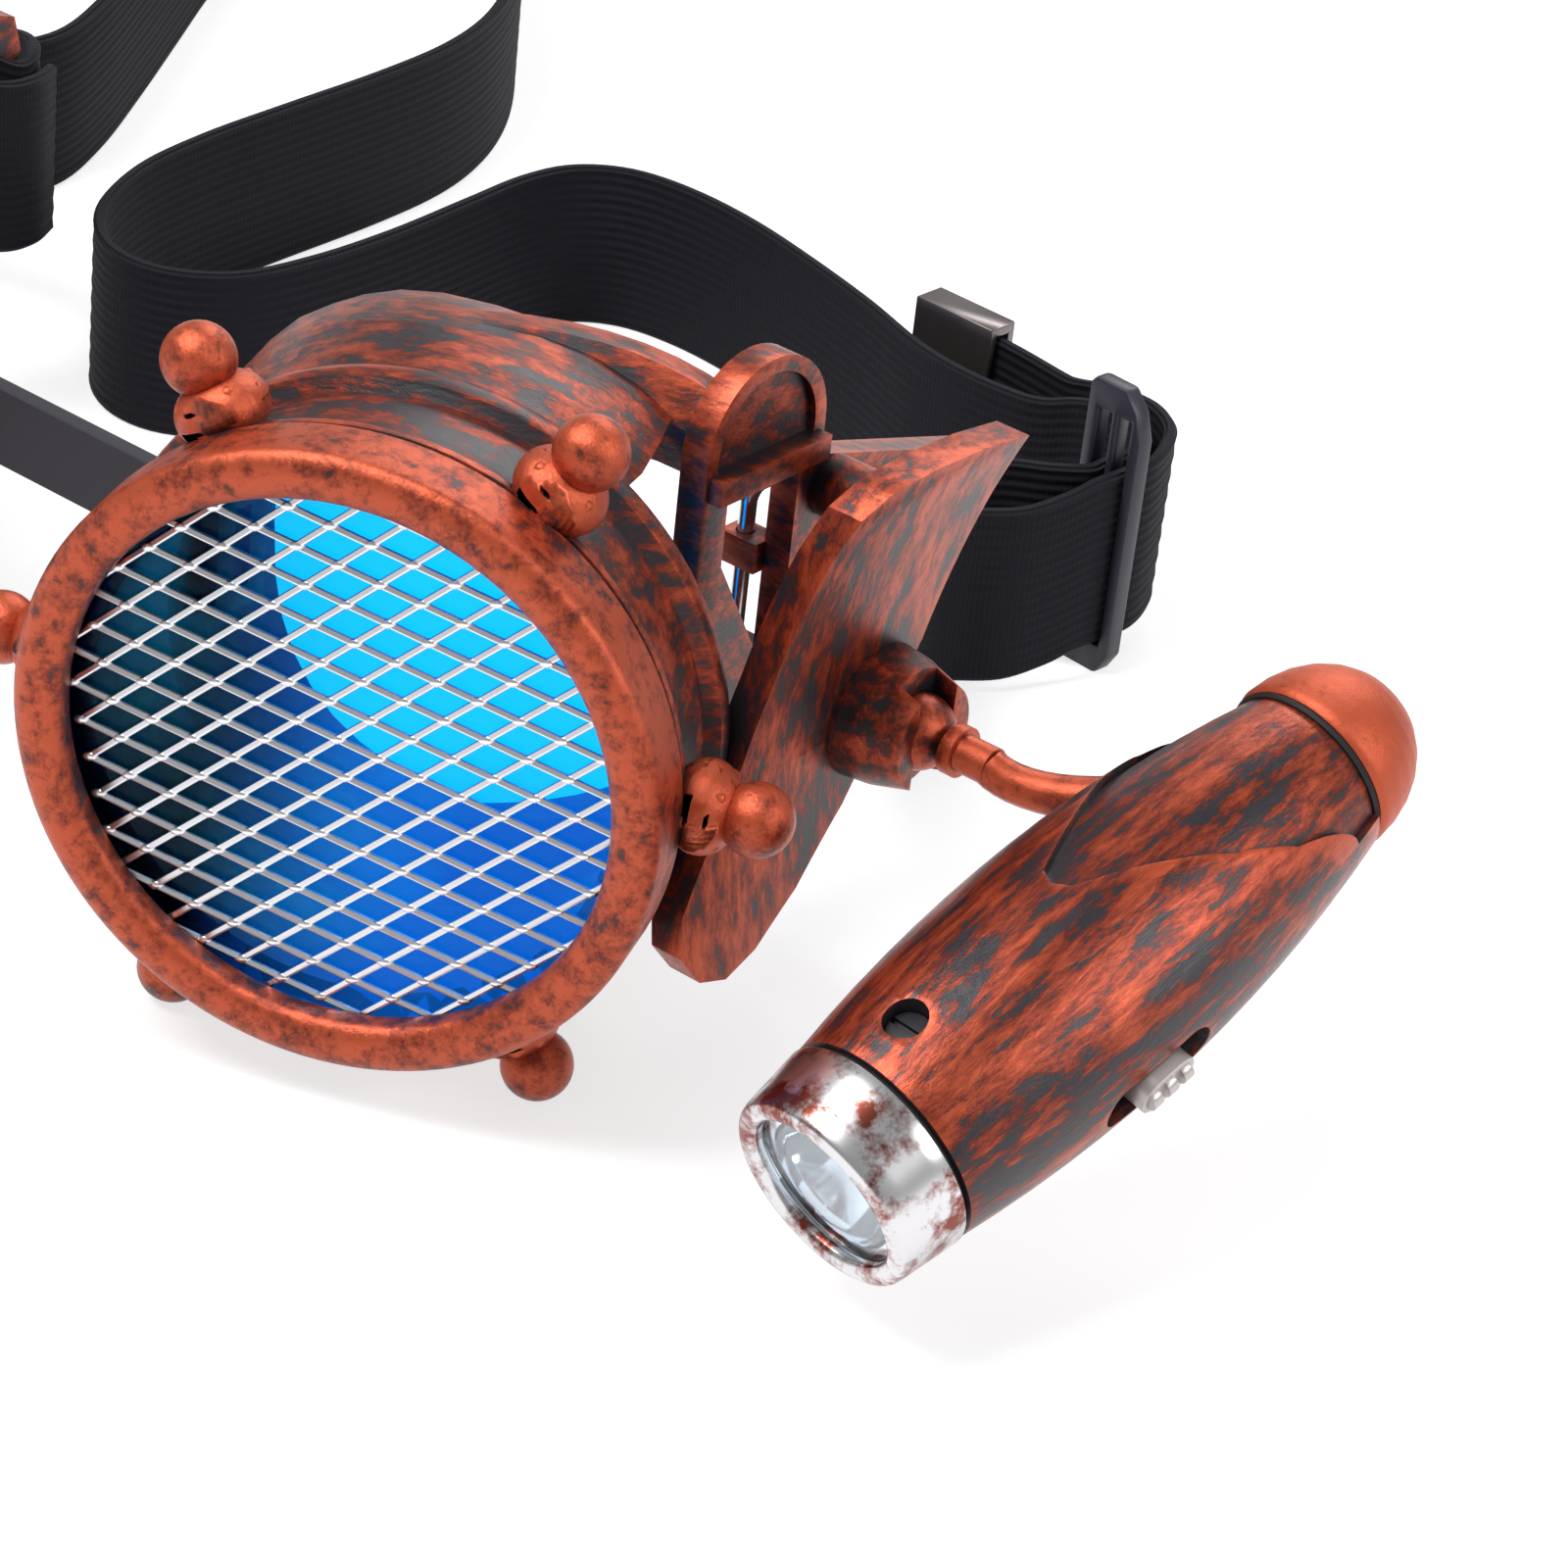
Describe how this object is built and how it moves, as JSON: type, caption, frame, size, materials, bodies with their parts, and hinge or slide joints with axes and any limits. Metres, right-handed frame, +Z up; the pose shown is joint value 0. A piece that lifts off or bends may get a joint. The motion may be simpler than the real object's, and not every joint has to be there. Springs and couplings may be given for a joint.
{
  "type": "steampunk goggles",
  "caption": "Steampunk goggles: studded, toed-out cups with mesh-backed lens rings, temple shields with torches on ball joints, nose band and adjustable strap.",
  "frame": {"origin": "middle of the whole object's bounding box, on the surface that it stands on", "axes": "+X towards the wearer's left, -Y the way the wearer looks, +Z up"},
  "size_m": [0.2682, 0.2272, 0.0672],
  "materials": {
    "aged_copper": "moulded plastic with brushed-on copper paint over black, worn at the edges",
    "dark_copper": "black moulded plastic with a thin rub of copper paint",
    "bright_steel": "bright plated metal, lightly worn",
    "dark_steel": "blackened screws",
    "blue_glass": "blue mirror-tinted lens",
    "clear_window": "clear torch window",
    "mirror_metal": "bright reflector",
    "lamp_white": "white lamp on its round board",
    "seal_rubber": "black rubber rings",
    "cell_steel": "button cells",
    "black_band": "flat black elastic nose band",
    "black_plastic": "black plastic slider",
    "clip_metal": "folded clip with dark paint and a bright upper edge",
    "black_webbing": "woven black elastic webbing"
  },
  "bodies": {
    "goggles": {"left_eyecup": "aged_copper", "left_lens": "blue_glass", "left_studs": "aged_copper", "left_strap_ring": "bright_steel", "left_shield": "aged_copper", "left_shield_screws": "dark_steel", "left_ball_socket": "dark_copper", "right_eyecup": "aged_copper", "right_lens": "blue_glass", "right_studs": "aged_copper", "right_strap_ring": "bright_steel", "right_shield": "aged_copper", "right_shield_screws": "dark_steel", "right_ball_socket": "dark_copper", "nose_band": "black_band", "strap_clip": "clip_metal", "strap_left_loop": "black_webbing", "strap_adjuster": "black_webbing", "strap_turn": "black_webbing", "strap_free_end": "black_webbing", "strap_run": "black_webbing", "strap_near_fold": "black_webbing", "strap_rear_run": "black_webbing", "strap_far_fold": "black_webbing", "strap_right_side": "black_webbing", "strap_right_loop": "black_webbing"},
    "slider": {"slider_buckle": "black_plastic"},
    "left_mesh_disc": {"left_mesh": "bright_steel"},
    "left_front_ring": {"left_bezel": "aged_copper"},
    "left_ball": {"left_lamp_ball": "dark_copper"},
    "left_torch": {"left_lamp_arm": "aged_copper", "left_lamp_body": "aged_copper", "left_lamp_reflector": "mirror_metal", "left_lamp_led": "lamp_white", "left_lamp_seals": "seal_rubber", "left_lamp_cells": "cell_steel", "left_lamp_spring": "bright_steel", "left_lamp_screw": "dark_steel"},
    "left_torch_head": {"left_lamp_head": "bright_steel", "left_lamp_lens": "clear_window"},
    "left_torch_tail": {"left_lamp_tail": "aged_copper"},
    "left_torch_switch": {"left_lamp_switch": "aged_copper"},
    "right_mesh_disc": {"right_mesh": "bright_steel"},
    "right_front_ring": {"right_bezel": "aged_copper"},
    "right_ball": {"right_lamp_ball": "dark_copper"},
    "right_torch": {"right_lamp_arm": "aged_copper", "right_lamp_body": "aged_copper", "right_lamp_reflector": "mirror_metal", "right_lamp_led": "lamp_white", "right_lamp_seals": "seal_rubber", "right_lamp_cells": "cell_steel", "right_lamp_spring": "bright_steel", "right_lamp_screw": "dark_steel"},
    "right_torch_head": {"right_lamp_head": "bright_steel", "right_lamp_lens": "clear_window"},
    "right_torch_tail": {"right_lamp_tail": "aged_copper"},
    "right_torch_switch": {"right_lamp_switch": "aged_copper"}
  },
  "joints": [
    {"name": "slider_slide", "type": "slide", "parent": "goggles", "child": "slider", "axis": [0.1045, 0.9945, 0], "range_m": [-0.0004, 0.0025]},
    {"name": "left_ring_travel", "type": "slide", "parent": "goggles", "child": "left_mesh_disc", "axis": [0.3649, -0.9311, 0], "range_m": [0, 0.0045]},
    {"name": "left_ring_turn", "type": "hinge", "parent": "left_mesh_disc", "child": "left_front_ring", "pos_m": [0.06644, -0.10203, 0.03361], "axis": [0.3649, -0.9311, 0], "range_deg": [0, 1080]},
    {"name": "left_torch_pan", "type": "hinge", "parent": "goggles", "child": "left_ball", "pos_m": [0.09344, -0.05553, 0.03151], "axis": [0, 0, 1], "range_deg": [-10, 20]},
    {"name": "left_torch_tilt", "type": "hinge", "parent": "left_ball", "child": "left_torch", "pos_m": [0.09344, -0.05553, 0.03151], "axis": [-1, 0, 0], "range_deg": [-6, 40]},
    {"name": "left_head_turn", "type": "hinge", "parent": "left_torch", "child": "left_torch_head", "pos_m": [0.11794, -0.09703, 0.01401], "axis": [-0.1044, -0.9308, -0.3502], "range_deg": [0, 540]},
    {"name": "left_tail_turn", "type": "hinge", "parent": "left_torch", "child": "left_torch_tail", "pos_m": [0.12425, -0.04072, 0.0352], "axis": [0.1044, 0.9308, 0.3502], "range_deg": [0, 1080]},
    {"name": "left_switch_slide", "type": "slide", "parent": "left_torch", "child": "left_torch_switch", "axis": [0.1044, 0.9308, 0.3502], "range_m": [-0.0028, 0.0028]},
    {"name": "right_ring_travel", "type": "slide", "parent": "goggles", "child": "right_mesh_disc", "axis": [-0.3649, -0.9311, 0], "range_m": [0, 0.0045]},
    {"name": "right_ring_turn", "type": "hinge", "parent": "right_mesh_disc", "child": "right_front_ring", "pos_m": [-0.05056, -0.10203, 0.03361], "axis": [-0.3649, -0.9311, 0], "range_deg": [0, 1080]},
    {"name": "right_torch_pan", "type": "hinge", "parent": "goggles", "child": "right_ball", "pos_m": [-0.07756, -0.05553, 0.03151], "axis": [0, 0, -1], "range_deg": [-10, 20]},
    {"name": "right_torch_tilt", "type": "hinge", "parent": "right_ball", "child": "right_torch", "pos_m": [-0.07756, -0.05553, 0.03151], "axis": [-1, 0, 0], "range_deg": [-6, 40]},
    {"name": "right_head_turn", "type": "hinge", "parent": "right_torch", "child": "right_torch_head", "pos_m": [-0.10206, -0.09703, 0.01401], "axis": [0.1044, -0.9308, -0.3502], "range_deg": [0, 540]},
    {"name": "right_tail_turn", "type": "hinge", "parent": "right_torch", "child": "right_torch_tail", "pos_m": [-0.10838, -0.04072, 0.0352], "axis": [-0.1044, 0.9308, 0.3502], "range_deg": [0, 1080]},
    {"name": "right_switch_slide", "type": "slide", "parent": "right_torch", "child": "right_torch_switch", "axis": [-0.1044, 0.9308, 0.3502], "range_m": [-0.0028, 0.0028]}
  ],
  "couplings": [
    {"joint": "left_ring_travel", "follows": "left_ring_turn", "m_per_rad": 0.00023873},
    {"joint": "right_ring_travel", "follows": "right_ring_turn", "m_per_rad": 0.00023873}
  ]
}
